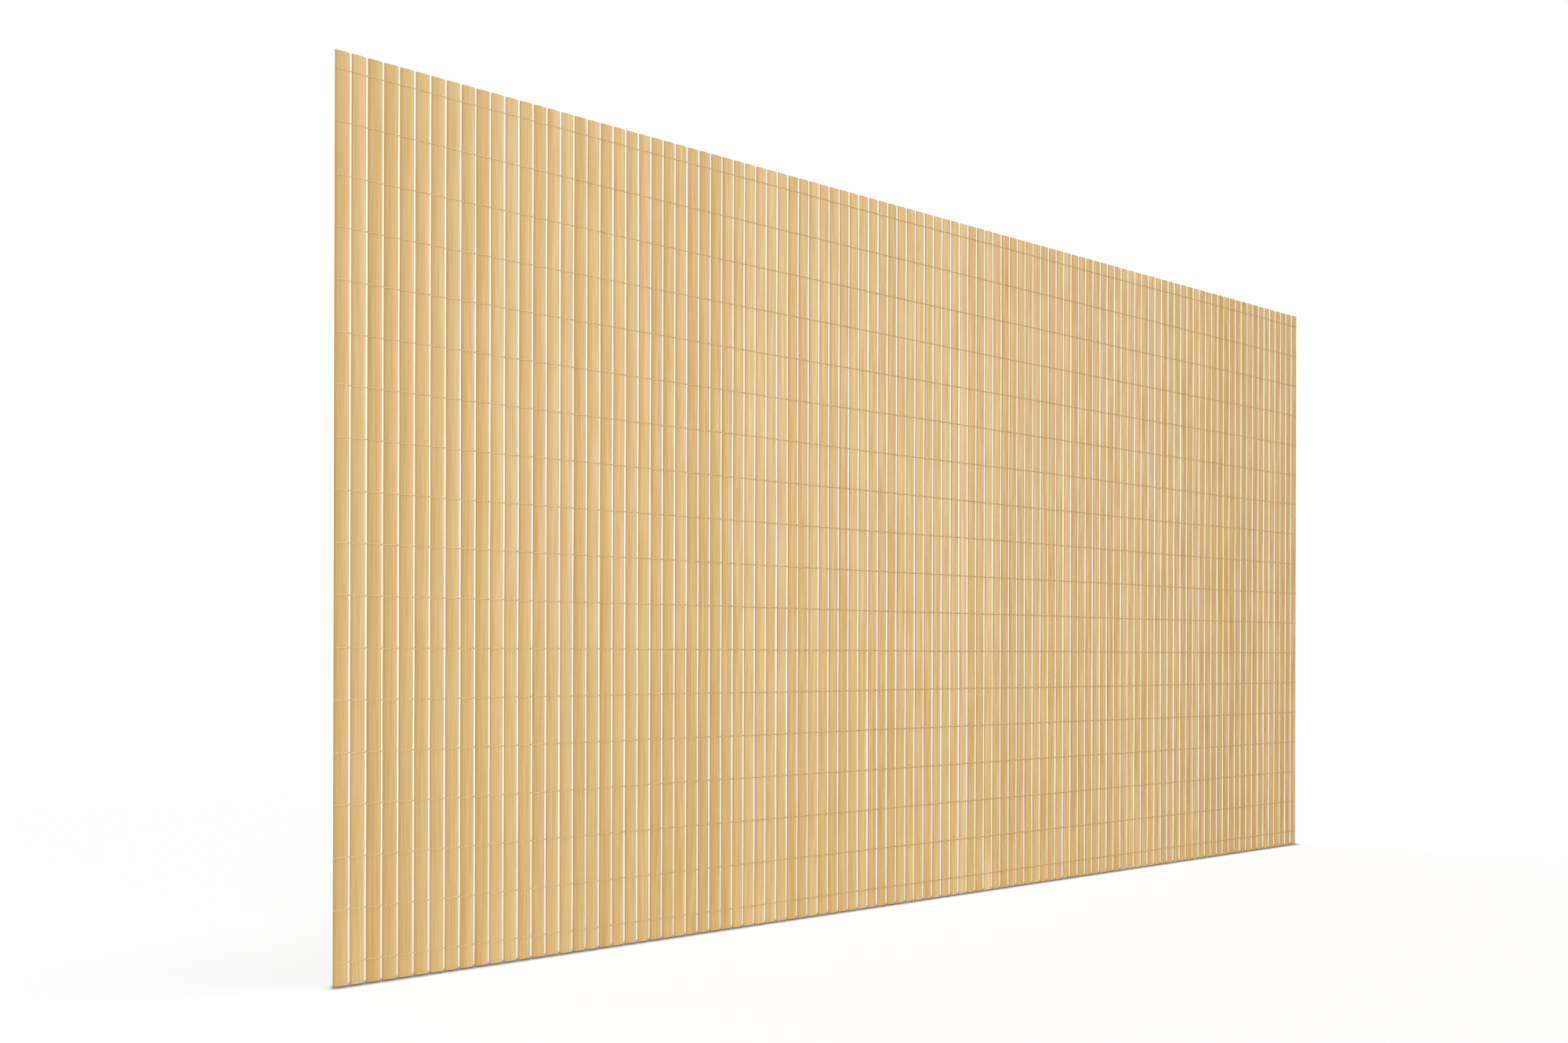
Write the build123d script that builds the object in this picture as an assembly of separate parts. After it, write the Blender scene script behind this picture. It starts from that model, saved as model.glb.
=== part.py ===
from build123d import *
import math
import os

# The mat stands upright: X runs along its width, the crowned front faces -Y,
# the back that lies against a fence faces +Y, and Z is up from its lower edge.

# Slats: rigid strips with a gently crowned face, their two long edges rolled back to a narrow lip
slat_count = 102
slat_width = 26.7
slat_gap = 2.7
slat_height = 1800.0
slat_wall = 1.1
crown_radius = 60.0
edge_radius = 3.0
edge_turn = 45.0

# Binding threads: each is doubled round an end slat and runs in front of and behind all the slats
thread_rows = 18
thread_size = 1.4
thread_clearance = 0.1
top_margin = 35.0
bottom_margin = 45.0

# Twists: where the strands of the top and bottom rows cross in a gap, they tie the slats into one wall
twist_height = 3.0

# Sizes that follow
slat_pitch = slat_width + slat_gap
mat_width = slat_count * slat_pitch - slat_gap
row_pitch = (slat_height - top_margin - bottom_margin) / (thread_rows - 1)
row_heights = [slat_height - top_margin - row * row_pitch for row in range(thread_rows)]

# Slat section: turns are measured from straight ahead, and the crown and edge arcs share a tangent
lip_turn = math.radians(edge_turn)
edge_centre_x = slat_width / 2 - edge_radius * math.sin(lip_turn)
crown_turn = math.asin(edge_centre_x / (crown_radius - edge_radius))
edge_centre_depth = crown_radius - (crown_radius - edge_radius) * math.cos(crown_turn)
lip_back_radius = edge_radius - slat_wall
slat_depth = edge_centre_depth - lip_back_radius * math.cos(lip_turn)
front_y = -slat_depth / 2
crown_centre = (0, front_y + crown_radius)
left_centre = (-edge_centre_x, front_y + edge_centre_depth)
right_centre = (edge_centre_x, front_y + edge_centre_depth)


def arc_point(centre, radius, turn):
    return (centre[0] + radius * math.sin(turn), centre[1] - radius * math.cos(turn))


def section_arc(centre, radius, start_turn, end_turn):
    turns = (start_turn, (start_turn + end_turn) / 2, end_turn)
    return ThreePointArc(*[arc_point(centre, radius, turn) for turn in turns])


def make_slat():
    left_edge = section_arc(left_centre, edge_radius, -lip_turn, -crown_turn)
    crown = section_arc(crown_centre, crown_radius, -crown_turn, crown_turn)
    right_edge = section_arc(right_centre, edge_radius, crown_turn, lip_turn)
    right_lip_back = arc_point(right_centre, lip_back_radius, lip_turn)
    left_lip_back = arc_point(left_centre, lip_back_radius, -lip_turn)
    right_lip = Line(right_edge @ 1, right_lip_back)
    back = ThreePointArc(right_lip_back, (0, front_y + slat_wall), left_lip_back)
    left_lip = Line(left_lip_back, left_edge @ 0)
    section = make_face([left_edge, crown, right_edge, right_lip, back, left_lip])
    return extrude(section, amount=slat_height, dir=(0, 0, 1))


def make_twist():
    # Fills the gap from the lip of one slat to the lip of the next, about the middle of the gap
    lip_front = arc_point(left_centre, edge_radius, -lip_turn)
    lip_back = arc_point(left_centre, lip_back_radius, -lip_turn)
    half_front = slat_pitch / 2 + lip_front[0]
    half_back = slat_pitch / 2 + lip_back[0]
    corners = [
        (-half_front, lip_front[1]),
        (half_front, lip_front[1]),
        (half_back, lip_back[1]),
        (-half_back, lip_back[1]),
    ]
    outline = make_face(Polyline(*corners, close=True))
    return Pos(0, 0, -twist_height / 2) * extrude(outline, amount=twist_height, dir=(0, 0, 1))


def make_slat_wall():
    slat = make_slat()
    twist = make_twist()
    first_slat_x = (slat_width - mat_width) / 2
    slat_places = [first_slat_x + number * slat_pitch for number in range(slat_count)]
    slats = [Pos(x, 0, 0) * slat for x in slat_places]
    twists = [
        Pos(x + slat_pitch / 2, 0, height) * twist
        for x in slat_places[:-1]
        for height in (row_heights[0], row_heights[-1])
    ]
    return slats[0].fuse(*slats[1:], *twists)


def make_binding_thread(height):
    inner_width = mat_width + 2 * thread_clearance
    inner_depth = slat_depth + 2 * thread_clearance
    inside = Rectangle(inner_width, inner_depth)
    outside = Rectangle(inner_width + 2 * thread_size, inner_depth + 2 * thread_size)
    thread = extrude(outside - inside, amount=thread_size, dir=(0, 0, 1))
    return Pos(0, 0, height - thread_size / 2) * thread


os.makedirs("parts", exist_ok=True)
export_step(make_slat_wall(), "parts/slat_wall.step")
for row, height in enumerate(row_heights, start=1):
    export_step(make_binding_thread(height), f"parts/binding_thread_{row:02d}.step")
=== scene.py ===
import bpy
import math
import random
from mathutils import Matrix, Vector, noise


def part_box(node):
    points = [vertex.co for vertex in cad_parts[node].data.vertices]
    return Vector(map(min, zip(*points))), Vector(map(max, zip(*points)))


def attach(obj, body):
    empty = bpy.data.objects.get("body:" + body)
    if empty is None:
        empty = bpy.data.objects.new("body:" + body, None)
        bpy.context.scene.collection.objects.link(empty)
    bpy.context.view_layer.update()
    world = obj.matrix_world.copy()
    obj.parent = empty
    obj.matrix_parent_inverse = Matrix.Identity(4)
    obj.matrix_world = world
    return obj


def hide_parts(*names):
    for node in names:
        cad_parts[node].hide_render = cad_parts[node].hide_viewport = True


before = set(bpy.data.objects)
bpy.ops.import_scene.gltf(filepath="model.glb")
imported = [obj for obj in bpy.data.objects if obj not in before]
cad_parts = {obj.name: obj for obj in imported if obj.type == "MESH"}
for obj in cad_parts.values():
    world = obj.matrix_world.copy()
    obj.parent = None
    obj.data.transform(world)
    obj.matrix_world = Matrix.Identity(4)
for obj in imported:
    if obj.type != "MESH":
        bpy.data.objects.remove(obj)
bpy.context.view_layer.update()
mm = 0.001
creaseAngle = math.radians(60)       # edges that bend more than this are shaded as creases
wallLow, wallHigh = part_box("slat_wall")
threadNodes = sorted(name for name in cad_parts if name.startswith("binding_thread_"))
print("frame loaded:", len(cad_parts), "nodes")


def linearColour(hexCode):
    # sRGB to linear light
    channels = [int(hexCode[i:i + 2], 16) / 255 for i in (1, 3, 5)]
    return [c / 12.92 if c <= 0.04045 else ((c + 0.055) / 1.055) ** 2.4 for c in channels] + [1.0]


def addNode(tree, kind, inputs=None, **settings):
    # an input is a link or a fixed value; a colour mix has its colours at 6 and 7 and its result at 2
    node = tree.nodes.new(kind)
    for name, value in settings.items():
        setattr(node, name, value)
    for socket, value in (inputs or {}).items():
        if isinstance(value, bpy.types.NodeSocket):
            tree.links.new(value, node.inputs[socket])
        else:
            node.inputs[socket].default_value = value
    return node


def startMaterial(name):
    material = bpy.data.materials.new(name)
    material.use_nodes = True
    material.node_tree.nodes.clear()
    return material, material.node_tree


def finishMaterial(tree, shader):
    addNode(tree, "ShaderNodeOutputMaterial", {"Surface": shader})


def drift(number, place, rates):
    # smooth noise: its steps per slat, its steps per metre of height or per row, and a layer of its own
    return noise.noise(Vector((number * rates[0], place * rates[1], rates[2])))


# Slats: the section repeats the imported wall's, and each slat sways a little between its threads
slatLook = {
    "count": 102,
    "width": 26.7 * mm,
    "wall": 1.1 * mm,
    "crownRadius": 60.0 * mm,
    "edgeRadius": 3.0 * mm,
    "edgeTurn": math.radians(45),
    "lipBevel": 0.2 * mm,
    "edgeSteps": 3,
    "crownSteps": 8,
    "backSteps": 4,
    "sharedSway": 1.5 * mm,          # neighbours lean the same way
    "sharedRates": (0.31, 3.3, 5.7),
    "ownSway": 0.8 * mm,
    "ownRates": (7.3, 5.1, 1.9),
    "leftCalm": 0.35,                # share of the sway that the left end of the mat has
    "heldSlats": 3,                  # the sway fades to none over this many slats at each end
    "ownTurn": math.radians(0.8),    # from slat to slat
    "slowTurn": math.radians(1.0),   # along each slat
    "slowRates": (3.7, 2.3, 8.4),
    "endTurn": math.radians(2.6),    # at the right end, growing evenly from none at the left one
    "midTone": 0.5,                  # 0 is the deep tan and 1 the pale one
    "toneSpread": 0.06,              # from slat to slat
    "rightShade": -0.32,              # painted shade: the tan deepens over the right half, which catches less sheen
    "leftShadeLean": 0.1,                 # painted shade and sheen: deeper on a slat's left side and paler on its right at the left end, fading by mid mat
    "leftFigure": 0.4,               # strength of the streaks at the two ends
    "rightFigure": 1.3,
    "seed": 41,
}
slatGap = (wallHigh.x - wallLow.x - slatLook["count"] * slatLook["width"]) / (slatLook["count"] - 1)
slatPitch = slatLook["width"] + slatGap
slatRandom = random.Random(slatLook["seed"])


def drawTraits(number):
    # turn, tone, painted shade and sheen across the slat, and streaks of one slat
    along = number / (slatLook["count"] - 1)
    figure = slatLook["leftFigure"] + (slatLook["rightFigure"] - slatLook["leftFigure"]) * along
    # painted shade: the tone deepens over the right half of the mat
    tone = slatLook["midTone"] + slatLook["rightShade"] * max(0, 2 * along - 1)
    tone += slatRandom.gauss(0, slatLook["toneSpread"])
    shadeLean = slatLook["leftShadeLean"] * max(0, 1 - 2 * along) / (slatLook["width"] / 2)
    turn = slatLook["endTurn"] * along + slatRandom.gauss(0, slatLook["ownTurn"])
    return {"turn": turn, "tone": tone, "shadeLean": shadeLean, "figure": figure}


slatTraits = [drawTraits(number) for number in range(slatLook["count"])]


def arcPoint(centre, radius, turn):
    return (centre[0] + radius * math.sin(turn), centre[1] - radius * math.cos(turn))


def sectionSizes():
    halfWidth = slatLook["width"] / 2
    edgeX = halfWidth - slatLook["edgeRadius"] * math.sin(slatLook["edgeTurn"])
    crownToEdge = slatLook["crownRadius"] - slatLook["edgeRadius"]
    crownTurn = math.asin(edgeX / crownToEdge)
    edgeDepth = slatLook["crownRadius"] - crownToEdge * math.cos(crownTurn)
    lipRadius = slatLook["edgeRadius"] - slatLook["wall"]
    return {
        "edgeX": edgeX,
        "crownTurn": crownTurn,
        "edgeDepth": edgeDepth,
        "lipRadius": lipRadius,
        "depth": edgeDepth - lipRadius * math.cos(slatLook["edgeTurn"]),
    }


section = sectionSizes()
frontY = -section["depth"] / 2
backY = section["depth"] / 2


def frontPoint(turn):
    # a point on the crowned face or a rolled edge, by how far the surface has turned from straight ahead
    if abs(turn) <= section["crownTurn"]:
        return arcPoint((0, frontY + slatLook["crownRadius"]), slatLook["crownRadius"], turn)
    side = math.copysign(1, turn)
    return arcPoint((side * section["edgeX"], frontY + section["edgeDepth"]), slatLook["edgeRadius"], turn)


def slatOutline():
    crown, lip = section["crownTurn"], slatLook["edgeTurn"]
    edgeEnd = lip - slatLook["lipBevel"] / slatLook["edgeRadius"]
    edgeSteps, crownSteps, backSteps = [slatLook[key] for key in ("edgeSteps", "crownSteps", "backSteps")]
    edgeTurns = [edgeEnd + (crown - edgeEnd) * i / edgeSteps for i in range(edgeSteps)]
    crownTurns = [crown * (1 - 2 * i / crownSteps) for i in range(crownSteps + 1)]
    front = [frontPoint(-turn) for turn in edgeTurns + crownTurns]
    front += [frontPoint(turn) for turn in edgeTurns[::-1]]
    lipFront = Vector(frontPoint(lip))
    lipBack = Vector(arcPoint((section["edgeX"], frontY + section["edgeDepth"]), section["lipRadius"], lip))
    alongLip = (lipBack - lipFront).normalized() * slatLook["lipBevel"]
    backRise = lipBack.y - (frontY + slatLook["wall"])
    backRadius = (lipBack.x ** 2 + backRise ** 2) / (2 * backRise)
    backTurn = math.asin((lipBack.x - slatLook["lipBevel"]) / backRadius)
    backCentre = (0, frontY + slatLook["wall"] + backRadius)
    rightLip = [tuple(lipFront + alongLip), tuple(lipBack - alongLip)]
    leftLip = [(-x, y) for x, y in rightLip[::-1]]
    backTurns = [backTurn * (1 - 2 * i / backSteps) for i in range(backSteps + 1)]
    back = [arcPoint(backCentre, backRadius, turn) for turn in backTurns]
    return front + rightLip + back + leftLip


def slatSway(number, height):
    # sideways shift and turn of one slat at one height
    last = slatLook["count"] - 1
    loose = slatLook["leftCalm"] + (1 - slatLook["leftCalm"]) * number / last
    loose *= min(1, min(number, last - number) / slatLook["heldSlats"])
    shared = drift(number, height, slatLook["sharedRates"]) * slatLook["sharedSway"]
    own = drift(number, height, slatLook["ownRates"]) * slatLook["ownSway"]
    slow = drift(number, height, slatLook["slowRates"]) * slatLook["slowTurn"]
    return (shared + own) * loose, slatTraits[number]["turn"] + slow


def onSlat(number, height, point):
    # a point of the slat's own section, carried to its place in the mat
    shift, turn = slatSway(number, height)
    x = point[0] * math.cos(turn) - point[1] * math.sin(turn)
    y = point[0] * math.sin(turn) + point[1] * math.cos(turn)
    slatX = wallLow.x + slatLook["width"] / 2 + number * slatPitch
    return Vector((slatX + shift + x, y, height))


def rowHeight(node):
    low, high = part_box(node)
    return (low.z + high.z) / 2


rowHeights = [rowHeight(node) for node in threadNodes]


def addMeshPiece(name, vertices, faces, material):
    mesh = bpy.data.meshes.new(name)
    mesh.from_pydata(vertices, [], faces)
    mesh.materials.append(material)
    piece = bpy.data.objects.new(name, mesh)
    bpy.context.scene.collection.objects.link(piece)
    mesh.polygons.foreach_set("use_smooth", [True] * len(mesh.polygons))
    mesh.set_sharp_from_angle(angle=creaseAngle)
    return piece


def buildSlats(material):
    outline = slatOutline()
    count = len(outline)
    between = [(a + b) / 2 for a, b in zip(rowHeights, rowHeights[1:])]
    levels = sorted(rowHeights + between + [wallLow.z, wallHigh.z])
    vertices, faces, places = [], [], []
    traits = {"tone": [], "shadeLean": [], "figure": []}
    for number in range(slatLook["count"]):
        first = len(vertices)
        for height in levels:
            vertices += [onSlat(number, height, point) for point in outline]
            places += [(point[0], number, height) for point in outline]
        for level in range(len(levels) - 1):
            low = first + level * count
            for i in range(count):
                j = (i + 1) % count
                faces.append((low + i, low + j, low + count + j, low + count + i))
        faces.append(tuple(range(first + count - 1, first - 1, -1)))
        faces.append(tuple(range(len(vertices) - count, len(vertices))))
        for trait, values in traits.items():
            values += [slatTraits[number][trait]] * (len(vertices) - first)
    piece = addMeshPiece("pvc_slats", vertices, faces, material)
    for layer, trait in (("slatTone", "tone"), ("slatShadeLean", "shadeLean"), ("slatFigure", "figure")):
        piece.data.attributes.new(layer, "FLOAT", "POINT").data.foreach_set("value", traits[trait])
    placeLayer = piece.data.attributes.new("slatPlace", "FLOAT_VECTOR", "POINT")
    placeLayer.data.foreach_set("vector", [value for place in places for value in place])
    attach(piece, "root")
    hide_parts("slat_wall")
    return piece


# Extruded rigid PVC: pushed through a die, so a satin skin with fine lines all along the slat
def extrudedPvc():
    look = {
        "deep": "#B68B30",
        "pale": "#E2C690",
        "edge": "#B27A08",           # painted shade on the rolled edges, which turn away from the light
        "leftShadeBand": 4.6 * mm,        # the painted shade is wider on the left edge, the side turned from the light
        "rightShadeBand": 1.0 * mm,
        "edgeShare": 0.55,
        "streakWidth": 2.2 * mm,     # real lines are about 0.5 mm apart, drawn coarser to show
        "streakLength": 160 * mm,
        "streakDetail": 3.0,
        "streakShare": 2.0,
        "patchWidth": 8 * mm,
        "patchLength": 240 * mm,
        "patchDetail": 1.0,
        "patchShare": 0.4,
        "waver": 0.4,                # the streaks wander a little sideways
        "slatStep": 7.3,             # noise steps from slat to slat, so that no two are alike
        "lineWidth": 1.2 * mm,       # drawn coarser too
        "lineDetail": 1.0,
        "lineDepth": 0.05 * mm,
        "lineStrength": 0.6,
        "sheenRange": (0.3, 0.7),    # the streaks' values from the roughest skin to the smoothest
        "smooth": 0.33,
        "rough": 0.43,
        "ior": 1.53,
    }
    material, tree = startMaterial("extrudedPvcBambooTan")
    place = addNode(tree, "ShaderNodeAttribute", attribute_name="slatPlace").outputs["Vector"]
    tone = addNode(tree, "ShaderNodeAttribute", attribute_name="slatTone").outputs["Fac"]
    shadeLean = addNode(tree, "ShaderNodeAttribute", attribute_name="slatShadeLean").outputs["Fac"]
    figure = addNode(tree, "ShaderNodeAttribute", attribute_name="slatFigure").outputs["Fac"]
    across = addNode(tree, "ShaderNodeSeparateXYZ", {0: place}).outputs[0]

    def grain(width, length, detail):
        # x runs across the slat, y counts the slats and z runs along them
        scale = (1 / width, look["slatStep"], 1 / length)
        spot = addNode(tree, "ShaderNodeMapping", {"Vector": place, "Scale": scale}).outputs[0]
        settings = {"Vector": spot, "Scale": 1.0, "Detail": detail, "Distortion": look["waver"]}
        return addNode(tree, "ShaderNodeTexNoise", settings).outputs[0]

    streaks = grain(look["streakWidth"], look["streakLength"], look["streakDetail"])
    patches = grain(look["patchWidth"], look["patchLength"], look["patchDetail"])
    lines = grain(look["lineWidth"], look["streakLength"], look["lineDetail"])
    level = -(look["streakShare"] + look["patchShare"]) / 2      # brings the streaks' mean to 0
    mixed = addNode(tree, "ShaderNodeMath", {0: streaks, 1: look["streakShare"], 2: level},
                    operation="MULTIPLY_ADD")
    mixed = addNode(tree, "ShaderNodeMath", {0: patches, 1: look["patchShare"], 2: mixed.outputs[0]},
                    operation="MULTIPLY_ADD")
    # painted shade and sheen: the tone deepens towards the slat's left side and pales towards its right
    shadedTone = addNode(tree, "ShaderNodeMath", {0: across, 1: shadeLean, 2: tone}, operation="MULTIPLY_ADD")
    blend = addNode(tree, "ShaderNodeMath", {0: mixed.outputs[0], 1: figure, 2: shadedTone.outputs[0]},
                    operation="MULTIPLY_ADD", use_clamp=True)
    colour = addNode(tree, "ShaderNodeMix", {0: blend.outputs[0], 6: linearColour(look["deep"]),
                                             7: linearColour(look["pale"])}, data_type="RGBA")
    half = slatLook["width"] / 2
    bandShift = (look["leftShadeBand"] - look["rightShadeBand"]) / 2
    # painted shade: a band along each rolled edge of the slat, wider on the left one
    fromMiddle = addNode(tree, "ShaderNodeMath", {0: across, 1: bandShift}, operation="SUBTRACT")
    fromMiddle = addNode(tree, "ShaderNodeMath", {0: fromMiddle.outputs[0]}, operation="ABSOLUTE")
    edge = addNode(tree, "ShaderNodeMapRange", {
        "Value": fromMiddle.outputs[0],
        "From Min": half + bandShift - look["leftShadeBand"],
        "From Max": half + bandShift,
        "To Max": look["edgeShare"],
    })
    colour = addNode(tree, "ShaderNodeMix", {0: edge.outputs[0], 6: colour.outputs[2],
                                             7: linearColour(look["edge"])}, data_type="RGBA")
    bump = addNode(tree, "ShaderNodeBump", {"Height": lines, "Distance": look["lineDepth"],
                                            "Strength": look["lineStrength"]})
    sheen = addNode(tree, "ShaderNodeMapRange", {
        "Value": streaks,
        "From Min": look["sheenRange"][0],
        "From Max": look["sheenRange"][1],
        "To Min": look["rough"],
        "To Max": look["smooth"],
    })
    shader = addNode(tree, "ShaderNodeBsdfPrincipled", {
        "Base Color": colour.outputs[2],
        "Roughness": sheen.outputs[0],
        "IOR": look["ior"],
        "Normal": bump.outputs[0],
    })
    finishMaterial(tree, shader.outputs[0])
    return material


slatPiece = buildSlats(extrudedPvc())
print("slats built:", len(slatPiece.data.polygons), "faces")


# Threads: each is doubled round the first slat, twisted once in each gap and knotted behind the last slat
threadLook = {
    "radius": 0.65 * mm,
    "flatness": 0.6,                 # pulled flat against the slats
    "sides": 8,
    "lift": 0.05 * mm,               # clear of the slat it lies on
    "frontSpots": (-0.95, -0.7, -0.35, 0.0, 0.35, 0.7, 0.95),    # shares of half a slat's width
    "backSpots": (-0.93, -0.3, 0.3, 0.93),
    "wrapSpots": ((0.97, 0.2), (1.0, 0.6), (0.96, 0.95)),        # shares of the reach and the depth
    "rowSway": 2.0 * mm,             # slow rise and fall of a whole row
    "rowRates": (0.06, 5.3, 2.2),
    "stitchSway": 0.5 * mm,          # from slat to slat
    "stitchRates": (3.1, 5.3, 7.6),
    "knotSize": 1.0 * mm,
    "knotLoops": 1.3,                # size of the knot's two loops
    "knotDepth": 0.56,
    "knotSteps": 16,
    "knotInset": 9.0 * mm,
    "knotSeat": 0.9,                 # share of the way from the slat's middle to its back
    "tailLength": 9.0 * mm,
    "tailDrop": 2.5,                 # times the thread's radius
}


def faceY(x):
    # depth of the slat's front at a distance from its middle
    crownEnd = slatLook["crownRadius"] * math.sin(section["crownTurn"])
    if abs(x) <= crownEnd:
        return frontY + slatLook["crownRadius"] - math.sqrt(slatLook["crownRadius"] ** 2 - x ** 2)
    reach = min(abs(x) - section["edgeX"], slatLook["edgeRadius"])
    return frontY + section["edgeDepth"] - math.sqrt(slatLook["edgeRadius"] ** 2 - reach ** 2)


def rowRise(row, number):
    slow = drift(number, row, threadLook["rowRates"]) * threadLook["rowSway"]
    return slow + drift(number, row, threadLook["stitchRates"]) * threadLook["stitchSway"]


def strandOver(row, number, inFront):
    # one strand's points across one slat, from left to right
    height = rowHeights[row]
    stand = threadLook["radius"] * threadLook["flatness"] + threadLook["lift"]
    half = slatLook["width"] / 2
    points = []
    for spot in threadLook["frontSpots" if inFront else "backSpots"]:
        x = spot * half
        y = faceY(x) - stand if inFront else backY + stand
        point = onSlat(number, height, (x, y))
        climb = spot * threadLook["radius"] * (1 if inFront else -1)
        point.z += climb + rowRise(row, number)
        points.append(point)
    return points


def gapCrossing(row, number, rising):
    # where a strand passes through the gap after a slat, over or under the other strand
    height = rowHeights[row]
    half = slatLook["width"] / 2
    left = onSlat(number, height, (half, 0))
    right = onSlat(number + 1, height, (-half, 0))
    middle = (left + right) / 2
    middle.z += threadLook["radius"] * (1 if rising else -1) + rowRise(row, number)
    return middle


def strandPoints(row, startsInFront):
    points = []
    for number in range(slatLook["count"]):
        inFront = (number % 2 == 0) == startsInFront
        points += strandOver(row, number, inFront)
        if number < slatLook["count"] - 1:
            points.append(gapCrossing(row, number, inFront))
    return points


def endWrap(row, number, side):
    # round the outer edge of an end slat, from the front to the back
    height = rowHeights[row]
    reach = slatLook["width"] / 2 + threadLook["radius"] * threadLook["flatness"] + threadLook["lift"]
    points = []
    for along, depth in threadLook["wrapSpots"]:
        point = onSlat(number, height, (side * along * reach, frontY + depth * section["depth"]))
        point.z += rowRise(row, number)
        points.append(point)
    return points


def knotPoints(centre):
    # a flat overhand knot, seen from behind, left open at its last step
    loops = threadLook["knotLoops"]
    points = []
    for step in range(threadLook["knotSteps"] - 1):
        turn = 2 * math.pi * step / threadLook["knotSteps"]
        x = math.sin(turn) + loops * math.sin(2 * turn)
        y = -threadLook["knotDepth"] * math.sin(3 * turn)
        z = math.cos(turn) - loops * math.cos(2 * turn)
        points.append(centre + Vector((x, y, z)) * threadLook["knotSize"])
    return points


def threadRoute(row):
    last = slatLook["count"] - 1
    knotX = slatLook["width"] / 2 - threadLook["knotInset"]
    knotCentre = onSlat(last, rowHeights[row], (knotX, backY * threadLook["knotSeat"]))
    knotCentre.z += rowRise(row, last)
    drop = threadLook["tailDrop"] * threadLook["radius"]
    tail = knotCentre + Vector((-threadLook["tailLength"], 0, -drop))
    frontAtEnd = strandPoints(row, False)        # this strand ends in front of the last slat
    backAtEnd = strandPoints(row, True)
    wrapRight = endWrap(row, last, 1)
    wrapLeft = endWrap(row, 0, -1)
    route = [tail] + knotPoints(knotCentre) + wrapRight[::-1] + frontAtEnd[::-1]
    return route + wrapLeft[::-1] + backAtEnd[:-2] + [knotCentre]        # the last two become the knot


def tubeAlong(route, radius, flatness, sides):
    vertices, faces, runs = [], [], []
    run = 0.0
    for i, point in enumerate(route):
        ahead = route[min(i + 1, len(route) - 1)] - route[max(i - 1, 0)]
        ahead.normalize()
        side = Vector((0, 0, 1)).cross(ahead).normalized()
        up = ahead.cross(side)
        run += (point - route[max(i - 1, 0)]).length
        for k in range(sides):
            turn = 2 * math.pi * k / sides
            vertices.append(point + (side * math.cos(turn) * flatness + up * math.sin(turn)) * radius)
            runs += [run, math.cos(turn), math.sin(turn)]
    for i in range(len(route) - 1):
        for k in range(sides):
            a, b = i * sides + k, i * sides + (k + 1) % sides
            faces.append((a, b, b + sides, a + sides))
    faces.append(tuple(range(sides - 1, -1, -1)))
    faces.append(tuple(range(len(vertices) - sides, len(vertices))))
    return vertices, faces, runs


def buildThread(row, material):
    size = (threadLook["radius"], threadLook["flatness"], threadLook["sides"])
    vertices, faces, runs = tubeAlong(threadRoute(row), *size)
    alongs = [(vertex.x - wallLow.x) / (wallHigh.x - wallLow.x) for vertex in vertices]
    piece = addMeshPiece(f"twisted_thread_{row + 1:02d}", vertices, faces, material)
    piece.data.attributes.new("threadRun", "FLOAT_VECTOR", "POINT").data.foreach_set("vector", runs)
    piece.data.attributes.new("threadAlong", "FLOAT", "POINT").data.foreach_set("value", alongs)
    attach(piece, "root")
    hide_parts(threadNodes[row])
    return piece
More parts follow.
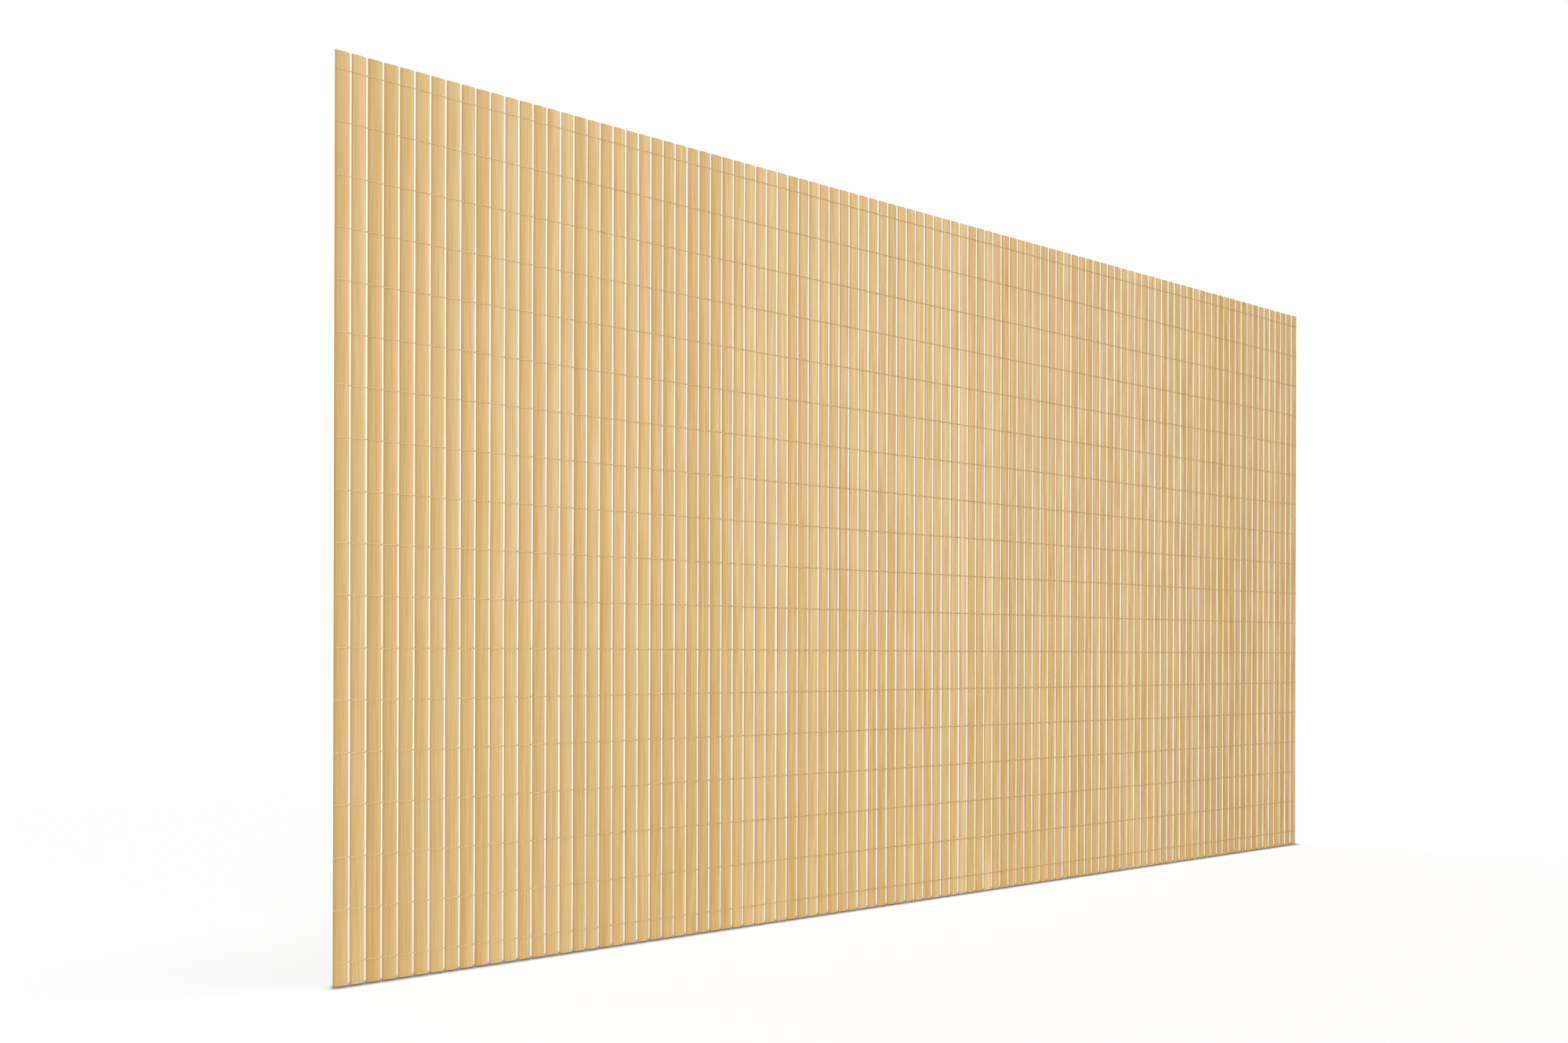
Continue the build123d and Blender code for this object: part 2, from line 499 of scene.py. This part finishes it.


# Twisted polyester: two plies laid round each other, so a silky line, with a painted highlight from pale to
# tan along the mat and painted shade in its furrows
def twistedPolyester():
    look = {
        "leftHighlightPly": "#E6D0A2",        # painted highlight: paler at the left end of the mat
        "rightShadedPly": "#C29C5C",
        "highlightReach": 0.45,            # share of the mat's width over which the painted highlight fades to tan
        "furrowShade": "#D8BE8C",         # painted shade in the grooves between the plies, multiplied in
        "bleachLength": 30 * mm,     # pale and tan stretches take turns, moving the painted highlight along the thread
        "paleStretchDetail": 1.0,
        "paleStretchShare": 0.9,
        "plyLength": 7.0 * mm,       # real plies turn every 2 mm, drawn longer to show
        "plyRange": (-1.0, 0.2),     # from the bottom of a furrow to the top of a ply
        "furrowDepth": 0.1 * mm,
        "furrowStrength": 0.6,
        "roughness": 0.32,
        "ior": 1.57,
    }
    material, tree = startMaterial("twistedPolyesterThread")
    place = addNode(tree, "ShaderNodeAttribute", attribute_name="threadRun").outputs["Vector"]
    run, aroundX, aroundY = addNode(tree, "ShaderNodeSeparateXYZ", {0: place}).outputs
    turnRate = 2 * math.pi / look["plyLength"]
    turns = addNode(tree, "ShaderNodeMath", {0: run, 1: turnRate}, operation="MULTIPLY")
    sine = addNode(tree, "ShaderNodeMath", {0: turns.outputs[0]}, operation="SINE")
    cosine = addNode(tree, "ShaderNodeMath", {0: turns.outputs[0]}, operation="COSINE")
    wave = addNode(tree, "ShaderNodeMath", {0: sine.outputs[0], 1: aroundX}, operation="MULTIPLY")
    wave = addNode(tree, "ShaderNodeMath", {0: cosine.outputs[0], 1: aroundY, 2: wave.outputs[0]},
                   operation="MULTIPLY_ADD")
    low, high = look["plyRange"]
    ply = addNode(tree, "ShaderNodeMapRange", {"Value": wave.outputs[0], "From Min": low, "From Max": high})
    furrowShade = addNode(tree, "ShaderNodeMath", {0: 1.0, 1: ply.outputs[0]}, operation="SUBTRACT")
    along = addNode(tree, "ShaderNodeAttribute", attribute_name="threadAlong").outputs["Fac"]
    settings = {"W": run, "Scale": 1 / look["bleachLength"], "Detail": look["paleStretchDetail"]}
    stretch = addNode(tree, "ShaderNodeTexNoise", settings, noise_dimensions="1D").outputs[0]
    paleStretchLevel = -look["paleStretchShare"] / 2       # brings the stretches' mean to 0
    bleach = addNode(tree, "ShaderNodeMath", {0: stretch, 1: look["paleStretchShare"], 2: paleStretchLevel},
                     operation="MULTIPLY_ADD")
    # painted highlight: pale at the left end, fading to a shaded tan towards the right
    highlightFade = addNode(tree, "ShaderNodeMath", {0: along, 1: 1 / look["highlightReach"], 2: bleach.outputs[0]},
                  operation="MULTIPLY_ADD", use_clamp=True)
    colour = addNode(tree, "ShaderNodeMix", {0: highlightFade.outputs[0], 6: linearColour(look["leftHighlightPly"]),
                                             7: linearColour(look["rightShadedPly"])}, data_type="RGBA")
    # painted shade in the grooves between the plies
    colour = addNode(tree, "ShaderNodeMix", {0: furrowShade.outputs[0], 6: colour.outputs[2],
                                             7: linearColour(look["furrowShade"])}, data_type="RGBA",
                     blend_type="MULTIPLY")
    bump = addNode(tree, "ShaderNodeBump", {"Height": ply.outputs[0], "Distance": look["furrowDepth"],
                                            "Strength": look["furrowStrength"]})
    shader = addNode(tree, "ShaderNodeBsdfPrincipled", {
        "Base Color": colour.outputs[2],
        "Roughness": look["roughness"],
        "IOR": look["ior"],
        "Normal": bump.outputs[0],
    })
    finishMaterial(tree, shader.outputs[0])
    return material


threadMaterial = twistedPolyester()
threadPieces = [buildThread(row, threadMaterial) for row in range(len(threadNodes))]
print("threads built:", len(threadPieces), "rows of", len(threadPieces[0].data.polygons), "faces")


# Studio: white paper floor just under the slats' ends, which keeps a faint shadow of the mat
studioLook = {
    "floorSize": 60.0,
    "floorDrop": 0.5 * mm,
    "paper": "#F4F4F4",
    "paperShade": 0.2,               # share of the paper's own light and shade that the camera sees
    "paperLift": 0.8,                # white added for the camera
    "contactReach": 22 * mm,         # the white fades to the contact shade this close to the mat
    "contactPower": 4.0,
    "contactSamples": 8,
    "contactShade": "#1E1A1C",
    "skyStrength": 0.29,             # on the mat; seen directly, the sky is white
    "lampDistance": 5.0,
}

# Sides, heights and softness are in degrees
softboxes = [
    {"name": "highSoftbox", "strength": 1.15, "side": -8, "heights": (52,), "softness": 24},
    {"name": "frontSoftbox", "strength": 0.34, "side": 30, "heights": (6, 20), "softness": 24},
    {"name": "sideSoftbox", "strength": 1.2, "side": 61, "heights": (70,), "softness": 14},
    {"name": "backSoftbox", "strength": 0.9, "side": -140, "heights": (22,), "softness": 30},
]


def seenDirectly(tree):
    # 1 for what the camera sees, also in a gloss or through something clear
    rays = addNode(tree, "ShaderNodeLightPath").outputs
    seen = addNode(tree, "ShaderNodeMath", {0: rays["Is Camera Ray"], 1: rays["Is Glossy Ray"]},
                   operation="MAXIMUM")
    seen = addNode(tree, "ShaderNodeMath", {0: seen.outputs[0], 1: rays["Is Transmission Ray"]},
                   operation="MAXIMUM")
    return seen.outputs[0]


# Matt white background paper: no gloss, lifted to clean white where it is seen
def studioPaper():
    material, tree = startMaterial("mattWhitePaper")
    seen = seenDirectly(tree)
    near = addNode(tree, "ShaderNodeAmbientOcclusion", {"Distance": studioLook["contactReach"]},
                   samples=studioLook["contactSamples"])
    clear = addNode(tree, "ShaderNodeMath", {0: near.outputs["AO"], 1: studioLook["contactPower"]},
                    operation="POWER")
    lift = addNode(tree, "ShaderNodeMath", {0: clear.outputs[0], 1: studioLook["paperLift"]},
                   operation="MULTIPLY")
    glow = addNode(tree, "ShaderNodeEmission", {"Strength": lift.outputs[0]})
    white = linearColour(studioLook["paper"])
    shaded = [channel * studioLook["paperShade"] for channel in white[:3]] + [1.0]
    dark = linearColour(studioLook["contactShade"])
    contact = addNode(tree, "ShaderNodeMix", {0: clear.outputs[0], 6: dark, 7: shaded}, data_type="RGBA")
    colour = addNode(tree, "ShaderNodeMix", {0: seen, 6: white, 7: contact.outputs[2]}, data_type="RGBA")
    paper = addNode(tree, "ShaderNodeBsdfDiffuse", {"Color": colour.outputs[2]})
    both = addNode(tree, "ShaderNodeAddShader", {0: paper.outputs[0], 1: glow.outputs[0]})
    shown = addNode(tree, "ShaderNodeMixShader", {0: seen, 1: paper.outputs[0], 2: both.outputs[0]})
    finishMaterial(tree, shown.outputs[0])
    return material


def buildFloor():
    half = studioLook["floorSize"] / 2
    corners = [(-half, -half), (half, -half), (half, half), (-half, half)]
    floorZ = wallLow.z - studioLook["floorDrop"]
    vertices = [(x, y, floorZ) for x, y in corners]
    floor = addMeshPiece("studio_floor", vertices, [(0, 1, 2, 3)], studioPaper())


def addSoftbox(box):
    # lamps one above the other make a tall box; side is measured to the right of straight ahead of the mat
    side = math.radians(box["side"])
    for height in box["heights"]:
        name = f"{box['name']}{height}"
        lamp = bpy.data.lights.new(name, "SUN")
        lamp.energy = box["strength"]
        lamp.angle = math.radians(box["softness"])
        light = bpy.data.objects.new(name, lamp)
        level, rise = math.cos(math.radians(height)), math.sin(math.radians(height))
        towards = Vector((math.sin(side) * level, -math.cos(side) * level, rise))
        light.rotation_euler = towards.to_track_quat("Z", "Y").to_euler()
        light.location = towards * studioLook["lampDistance"]
        bpy.context.scene.collection.objects.link(light)


def lightStudio():
    world = bpy.data.worlds.new("studioWhite")
    world.use_nodes = True
    tree = world.node_tree
    tree.nodes.clear()
    strength = addNode(tree, "ShaderNodeMapRange", {
        "Value": seenDirectly(tree),
        "To Min": studioLook["skyStrength"],
        "To Max": 1.0,
    })
    sky = addNode(tree, "ShaderNodeBackground", {"Color": (1, 1, 1, 1), "Strength": strength.outputs[0]})
    addNode(tree, "ShaderNodeOutputWorld", {"Surface": sky.outputs[0]})
    bpy.context.scene.world = world
    for box in softboxes:
        addSoftbox(box)


# Camera: level, close to the left end of the mat, with a wide lens
cameraLook = {
    "place": (-1.655, -2.0522, 0.639),
    "turn": math.radians(29.21),     # to the right of straight at the mat
    "roll": math.radians(0.143),
    "lens": 22.351,
    "sensor": 36.0,
    "shiftUp": 170.73,               # pixels
    "pictureWidth": 2000,
}


def setCamera():
    data = bpy.data.cameras.new("matCamera")
    data.sensor_fit = "HORIZONTAL"
    data.sensor_width = cameraLook["sensor"]
    data.lens = cameraLook["lens"]
    data.shift_y = cameraLook["shiftUp"] / cameraLook["pictureWidth"]
    turn, roll = cameraLook["turn"], cameraLook["roll"]
    ahead = Vector((math.sin(turn), math.cos(turn), 0))
    level = Vector((math.cos(turn), -math.sin(turn), 0))
    upright = Vector((0, 0, 1))
    right = level * math.cos(roll) + upright * math.sin(roll)
    up = upright * math.cos(roll) - level * math.sin(roll)
    pose = Matrix((right, up, -ahead)).transposed().to_4x4()
    pose.translation = cameraLook["place"]
    camera = bpy.data.objects.new("matCamera", data)
    camera.matrix_world = pose
    bpy.context.scene.collection.objects.link(camera)
    bpy.context.scene.camera = camera


buildFloor()
lightStudio()
setCamera()
bpy.context.scene.view_settings.view_transform = "Standard"
print("studio and camera set")
